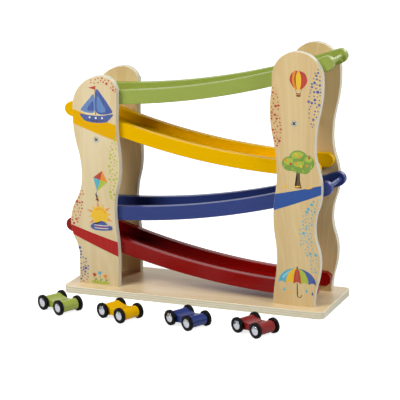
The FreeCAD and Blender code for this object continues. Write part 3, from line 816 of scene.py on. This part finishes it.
def boat():
    hull = smooth([(-161, 246), (-150, 245), (-130, 245), (-113, 248), (-119, 240), (-124, 236.5),
                   (-138, 235), (-152, 236.5), (-157, 240)])
    return [
        ("brown", [(-138.6, 246), (-137.4, 246), (-137.4, 285), (-138.6, 285)]),
        ("blue", smooth([(-136.6, 249), (-114.5, 250), (-119, 260), (-127, 271),
                         (-136.6, 280)], 6)),
        ("paleBlue", smooth([(-135, 251), (-124, 251.5), (-128, 262), (-135, 271)], 6)),
        ("paleBlue", smooth([(-140, 249.5), (-159, 250.5), (-155, 258), (-148, 266),
                             (-140, 273)], 6)),
        ("blue", smooth([(-141.5, 251.5), (-150, 252), (-147.5, 258), (-141.5, 264)], 6)),
        ("red", [(-137.4, 285), (-137.4, 279.5), (-148, 282)]),
        ("blue", hull),
        ("navy", smooth([(-152, 239.6), (-138, 238.4), (-124, 239.6), (-138, 236.6)], 6)),
        *(("white", oval(x, z, 1.4, 1.4)) for x, z in ((-147, 242), (-138, 241.6), (-129, 242))),
    ]


def kite():
    middle, top, low = (-134, 157), (-131, 170), (-139, 141)
    left, right = (-144, 160), (-123.5, 155)
    tail = [(-139, 141), (-141, 137), (-137.5, 133.5), (-140.5, 130), (-137, 127)]
    return [
        ("brown", stroke(tail, 0.7)),
        ("red", [middle, top, left]), ("orange", [middle, right, top]),
        ("cyan", [middle, left, low]), ("lime", [middle, low, right]),
        ("blue", oval(-140.6, 136.6, 1.6, 0.9, 30)), ("yellow", oval(-138.2, 132.4, 1.6, 0.9, -30)),
        ("red", oval(-140.2, 129.3, 1.5, 0.9, 30)),
    ]


def sun():
    x, z, foot, half = -136, 108, 12.5, 0.13
    shapes = []
    for i in range(12):
        a = radians(i * 30 + 9)
        tip = 20.5 if i % 2 else 17.5
        shapes.append(("orange" if i % 2 else "yellow", [
            (x + reach * cos(way), z + reach * sin(way))
            for reach, way in ((foot, a - half), (tip, a), (foot, a + half))]))
    shapes.append(("yellow", oval(x, z, 12, 12)))
    shapes.append(("orange", ring(x, z, 9.6, 8.6, 20, 130)))
    cloud = smooth([(-150, 92), (-146, 96.5), (-140, 96), (-135, 100.5), (-128, 99), (-124, 95),
                    (-118.5, 94), (-118, 89.5), (-124, 88), (-136, 87), (-146, 88)])
    shapes.append(("blue", cloud))
    for k, name in enumerate(("white", "red", "white")):
        line = [(-144, 90.4 + 2 * k), (-134, 90 + 2 * k), (-124, 90.4 + 2 * k)]
        shapes.append((name, stroke(line, 0.9)))
    return shapes


def tulips():
    shapes = [("lime", smooth([(-151, 13), (-148, 16), (-145, 14.5), (-141, 17), (-137, 14.5),
                               (-132, 16.5), (-129, 14.5), (-126, 15.5), (-124.5, 12.5),
                               (-138, 11.8)], 5))]
    for x, z, name in ((-146, 25, "red"), (-138, 28, "cyan"), (-130, 24, "orange")):
        shapes.append(("green", stroke([(x + 0.6, 14), (x, z - 3)], 0.8)))
        shapes.append(("green", oval(x + 2, 17.5, 2.4, 0.9, 50)))
        cup = [(-2.6, 1.8), (-1.2, 0.4), (0, 2.2), (1.2, 0.4), (2.6, 1.8),
               (1.8, -2.4), (-1.8, -2.4)]
        shapes.append((name, smooth(moved(x, z, cup), 5)))
    return shapes


def balloon():
    x, z = 146, 310
    red = [(0, 12), (8.5, 9), (12, 0), (8, -8), (3, -12), (-3, -12), (-8, -8), (-12, 0), (-8.5, 9)]
    orange = [(-7.2, 9.6), (-4, 11.4), (-5.4, 0), (-2.6, -11.5), (-6, -9.6), (-8.6, 0)]
    yellow = [(0, 12), (3, 6), (3.6, -2), (1.8, -11.8), (-1.8, -11.8), (-3.6, -2), (-3, 6)]
    return [
        ("brown", stroke(moved(x, z, [(-5, -9), (-2.6, -17)]), 0.5)),
        ("brown", stroke(moved(x, z, [(5, -9), (2.6, -17)]), 0.5)),
        ("red", smooth(moved(x, z, red))),
        ("orange", smooth(moved(x, z, orange), 6)),
        ("yellow", smooth(moved(x, z, yellow), 6)),
        ("brown", moved(x, z, [(-3.2, -17), (3.2, -17), (2.6, -21.5), (-2.6, -21.5)])),
        ("orange", moved(x, z, [(-3.1, -18), (3.1, -18), (2.95, -19.1), (-2.95, -19.1)])),
    ]


def appleTree():
    shapes = [("brown", [(143.6, 192), (148, 192), (147.4, 182), (147.8, 174), (150.4, 168.5),
                         (140.4, 168.5), (143.2, 174), (143.9, 182)])]
    for x, z, wide, high in ((134, 200, 10.5, 9.5), (146, 208, 12.5, 10.5), (158, 203, 9.5, 10),
                             (147, 197, 13, 8.5), (154, 194.5, 8, 6.5)):
        shapes.append(("green", oval(x, z, wide, high)))
    for x, z, wide, high in ((132.5, 203, 6.5, 4.6), (144, 212, 8, 4.4), (159.5, 207.5, 5.2, 3.8),
                             (146, 200.5, 7, 3.6)):
        shapes.append(("lime", oval(x, z, wide, high, 8, 24)))
    for x, z, tilt in ((126.5, 196.5, 60), (138, 194, 110), (152.5, 204, 40), (163, 198, 80),
                       (152, 191.5, 150), (137.5, 207, 20), (151.5, 214, 160), (141, 190.5, 30)):
        shapes.append(("lime", oval(x, z, 2, 0.9, tilt, 16)))
    for x, z, name in ((129, 204.5, "orange"), (135.5, 200, "red"), (142.5, 213, "yellow"),
                       (147.5, 210, "orange"), (160.5, 209.5, "red"), (157.5, 199, "orange"),
                       (143, 201, "orange"), (149.5, 197.5, "yellow")):
        shapes.append((name, oval(x, z, 1.7, 1.7, 0, 20)))
    for k in range(3):
        shapes.append(("yellow", oval(128 + 16 * k, 169.5 + (k % 2), 4.5, 1, 6 * k, 20)))
    return shapes


def umbrella():
    x, z, reach, high = 144, 40, 26, 21
    grip = [(0, 1), (0, -14), (0.6, -17), (3, -18.4), (5.4, -17), (5.8, -14.6)]
    shapes = [("brown", stroke(moved(x, z, grip), 1.3))]
    edges = [x - reach + 2 * reach * i / 5 for i in range(6)]
    for i, name in enumerate(("cyan", "yellow", "red", "lime", "blue")):
        start, end = edges[i:i + 2]
        rim = [(start + (end - start) * t / 6, z + 2.4 * sin(pi * t / 6)) for t in range(6)]
        up, down = [[(x + (edge - x) * cos(pi * t / 16), z + high * sin(pi * t / 16))
                     for t in range(9)] for edge in (end, start)]
        shapes.append((name, rim + up + down[-2:0:-1]))
    shine = [(-20.5, 8), (-15, 14), (-9, 18), (-14, 12), (-18.5, 6.5)]
    shapes.append(("paleCyan", smooth(moved(x, z, shine), 5)))
    shapes.append(("brown", oval(x, z + 22, 1, 1.8, 0, 16)))
    drop = [(0, -6), (1.4, -9.4), (0, -11), (-1.4, -9.4)]
    for k, (u, name) in enumerate(((-18, "cyan"), (-9, "yellow"), (13, "cyan"), (21, "blue"))):
        shapes.append((name, smooth(moved(x + u, z - 3 * (k % 2), drop), 5)))
    return shapes


motifs = {
    "left": {"boat": boat(), "kite": kite(), "sun": sun(), "tulip": tulips()},
    "right": {"balloon": balloon(), "tree": appleTree(), "umbrella": umbrella()},
}
for tower, group in motifs.items():
    for name, shapes in group.items():
        for side in ("front", "back"):
            printMotif(name + "_print_" + side, faces[tower + "_" + side], shapes)
print("motifs printed")

# Screws through the panels: flat heads a little below the faces, each with its cross turned


# a smooth mesh with its faces outwards, from what bmesh holds
def smoothMesh(name, bm):
    bmesh.ops.recalc_face_normals(bm, faces=bm.faces)
    for face in bm.faces:
        face.smooth = True
    mesh = bpy.data.meshes.new(name)
    bm.to_mesh(mesh)
    bm.free()
    return mesh


# in mm and degrees; shank is pairs of radius and depth below the head
screw = {
    "sunk": 0.12,
    "shank": [(3.98, 0), (3.98, 0.05), (2, 2.03), (2, 25.9), (0.4, 29.8)],
    "sides": 48,
    "span": 5.4,
    "arm": 1.3,
    "depth": 2.1,
    "taper": 0.7,
    "turns": (40, 46, 52, 44),
    "sharp": 30,
}


def crossOutline(span, arm, turn):
    s, w = span / 2, arm / 2
    points = [(w, s), (w, w), (s, w), (s, -w), (w, -w), (w, -s),
              (-w, -s), (-w, -w), (-s, -w), (-s, w), (-w, w), (-w, s)]
    cosine, sine = cos(radians(turn)), sin(radians(turn))
    return [(x * cosine - z * sine, x * sine + z * cosine) for x, z in points]


def makeScrews(values):
    verts = [v.co for v in frame["nodes"]["tower_screws"].data.vertices]
    bm = bmesh.new()
    for k, turn in enumerate(values["turns"]):
        across, outward = (1 if k % 2 else -1), (1 if k // 2 else -1)
        own = [v for v in verts if v.x * across > 0 and v.y * outward > 0]
        x, z = [(min(v[i] for v in own) + max(v[i] for v in own)) / 2 for i in (0, 2)]
        face = max(abs(v.y) for v in own) - values["sunk"] * mm

        def layer(points, depth):
            return [bm.verts.new((x + a * mm, outward * (face - depth * mm), z + b * mm))
                    for a, b in points]

        def walls(one, two):
            for i in range(len(one)):
                j = (i + 1) % len(one)
                bm.faces.new((one[i], one[j], two[j], two[i]))

        def edges(points):
            return [bm.edges.new((p, points[(i + 1) % len(points)])) for i, p in enumerate(points)]

        turned = [layer(oval(0, 0, r, r, 0, values["sides"]), depth)
                  for r, depth in values["shank"]]
        mouth = layer(crossOutline(values["span"], values["arm"], turn), 0)
        narrow = [values[key] * values["taper"] for key in ("span", "arm")]
        bottom = layer(crossOutline(*narrow, turn), values["depth"])
        bmesh.ops.triangle_fill(bm, edges=edges(turned[0]) + edges(mouth), normal=(0, outward, 0))
        for one, two in zip(turned, turned[1:]):
            walls(one, two)
        walls(mouth, bottom)
        bmesh.ops.triangulate(bm, faces=[bm.faces.new(bottom), bm.faces.new(turned[-1])],
                              ngon_method="EAR_CLIP")
    mesh = smoothMesh("countersunk_screws", bm)
    mesh.set_sharp_from_angle(angle=radians(values["sharp"]))
    mesh.materials.append(finishes["screw_steel"])
    piece = newPiece("countersunk_screws", mesh)
    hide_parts("tower_screws")
    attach(piece, "ramp")


makeScrews(screw)
print("screws made")

# Wheels: domed hubs, and turned tyres with two rows of tread blocks, two on each axle

# profiles are pairs of radius and distance from the car's middle, in mm
hub = {
    "profile": [(0.04, 17.4), (1.5, 17.4), (1.5, 12.7), (3, 12.7), (3, 13.3), (5.9, 13.3),
                (5.9, 17.5)],
    "crown": 18.75,
    "curve": 15,
    "rings": (5.85, 5.5, 5, 4.5, 4, 3.5, 3, 2.5, 2, 1.5, 1, 0.5, 0.04),
    "sides": 64,
    "sharp": 38,
}

tyre = {
    "profile": [(5.9, 17.55), (6.2, 17.9), (7.0, 18.05), (7.1, 18.2), (7.6, 18.2), (7.75, 18.08),
                (8.6, 17.98), (9.2, 17.7), (9.6, 17.15), (9.78, 16.4), (9.8, 15.55), (9.78, 14.8),
                (9.6, 14.15), (9.2, 13.7), (8.6, 13.42), (7.0, 13.32), (5.9, 13.32)],
    "sides": 72,
    "blocks": 38,
    "reach": 10.14,
    "block": (0.95, 1.35, 0.7),
    "rows": (16.7, 14.6),
    "skew": 24,
}


def blockTree():
    tree, given = newTree("tread blocks", {
        "Count": "Int", "Radius": "Float", "Across": "Float", "Skew": "Float", "Start": "Float",
        "Block": "Vector", "Rubber": "Material"})
    number = add(tree, "GeometryNodeInputIndex")
    line = add(tree, "GeometryNodeMeshLine", {}, {
        "Count": given["Count"], "Start Location": (0, 0, 0), "Offset": (0, 0, 0)})
    portion = add(tree, "ShaderNodeMath", {"operation": "DIVIDE"}, [number, given["Count"]])
    angle = add(tree, "ShaderNodeMath", {"operation": "MULTIPLY_ADD"}, [
        portion, 2 * pi, given["Start"]])
    sine = add(tree, "ShaderNodeMath", {"operation": "SINE"}, [angle])
    cosine = add(tree, "ShaderNodeMath", {"operation": "COSINE"}, [angle])
    alongX = add(tree, "ShaderNodeMath", {"operation": "MULTIPLY"}, [sine, given["Radius"]])
    alongZ = add(tree, "ShaderNodeMath", {"operation": "MULTIPLY"}, [cosine, given["Radius"]])
    spot = add(tree, "ShaderNodeCombineXYZ", {}, [alongX, given["Across"], alongZ])
    placed = add(tree, "GeometryNodeSetPosition", {}, {"Geometry": line, "Position": spot})
    lean = add(tree, "ShaderNodeCombineXYZ", {}, [0.0, angle, 0.0])
    upright = add(tree, "FunctionNodeEulerToRotation", {}, {"Euler": lean})
    twist = add(tree, "ShaderNodeCombineXYZ", {}, [0.0, 0.0, given["Skew"]])
    turned = add(tree, "FunctionNodeEulerToRotation", {}, {"Euler": twist})
    both = add(tree, "FunctionNodeRotateRotation", {"rotation_space": "LOCAL"}, {
        "Rotation": upright, "Rotate By": turned})
    cube = add(tree, "GeometryNodeMeshCube", {}, {"Size": given["Block"]})
    blocks = add(tree, "GeometryNodeInstanceOnPoints", {}, {
        "Points": placed, "Instance": cube.outputs["Mesh"], "Rotation": both})
    joined = add(tree, "GeometryNodeJoinGeometry", {}, {"Geometry": given["Geometry"]})
    tree.links.new(blocks.outputs["Instances"], joined.inputs[0])
    real = add(tree, "GeometryNodeRealizeInstances", {}, {"Geometry": joined})
    rubbered = add(tree, "GeometryNodeSetMaterial", {}, {
        "Geometry": real, "Material": given["Rubber"]})
    add(tree, "NodeGroupOutput", {}, {"Geometry": rubbered})
    return tree


def turnedMesh(name, profile, sides):
    bm = bmesh.new()
    for mirror in (1, -1):
        rings = []
        for i in range(sides):
            a = 2 * pi * i / sides
            rings.append([bm.verts.new((r * mm * sin(a), mirror * y * mm,
                                        r * mm * cos(a))) for r, y in profile])
        for i in range(sides):
            one, two = rings[i], rings[(i + 1) % sides]
            for k in range(len(profile)):
                m = (k + 1) % len(profile)
                bm.faces.new((one[k], one[m], two[m], two[k]))
    return smoothMesh(name, bm)


def makeWheels():
    tree = blockTree()
    depth = tyre["block"][2]
    dome = [(r, hub["crown"] - hub["curve"] + sqrt(hub["curve"] ** 2 - r ** 2))
            for r in hub["rings"]]
    for joint in frame["joints"]:
        if joint["type"] != "hinge":
            continue
        base = joint["child"].replace("_wheels", "")
        mesh = turnedMesh(base + "_caps", hub["profile"] + dome, hub["sides"])
        mesh.set_sharp_from_angle(angle=radians(hub["sharp"]))
        mesh.materials.append(finishes["hub_silver"])
        caps = newPiece(base + "_caps", mesh)
        mesh = turnedMesh(base + "_treads", tyre["profile"], tyre["sides"])
        piece = newPiece(base + "_treads", mesh)
        for side in (1, -1):
            for k, across in enumerate(tyre["rows"]):
                skew = radians(tyre["skew"]) * (1 if k else -1) * side
                grow(piece, tree, {
                    "Count": tyre["blocks"], "Radius": (tyre["reach"] - depth / 2) * mm,
                    "Across": side * across * mm, "Skew": skew,
                    "Start": k * pi / tyre["blocks"],
                    "Block": [v * mm for v in tyre["block"]], "Rubber": finishes["tyre_rubber"]})
        axis = Vector(joint["axis"])
        heading = atan2(-axis.x, axis.y)
        place = Matrix.Translation(Vector(joint["pos_m"])) @ Matrix.Rotation(heading, 4, "Z")
        for made, node, slot in ((piece, "_tyres", "tyre_rubber"), (caps, "_hubs", "hub_silver")):
            made.data.transform(place)
            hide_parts(base + node)
            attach(made, joint["child"])


makeWheels()
print("wheels made")
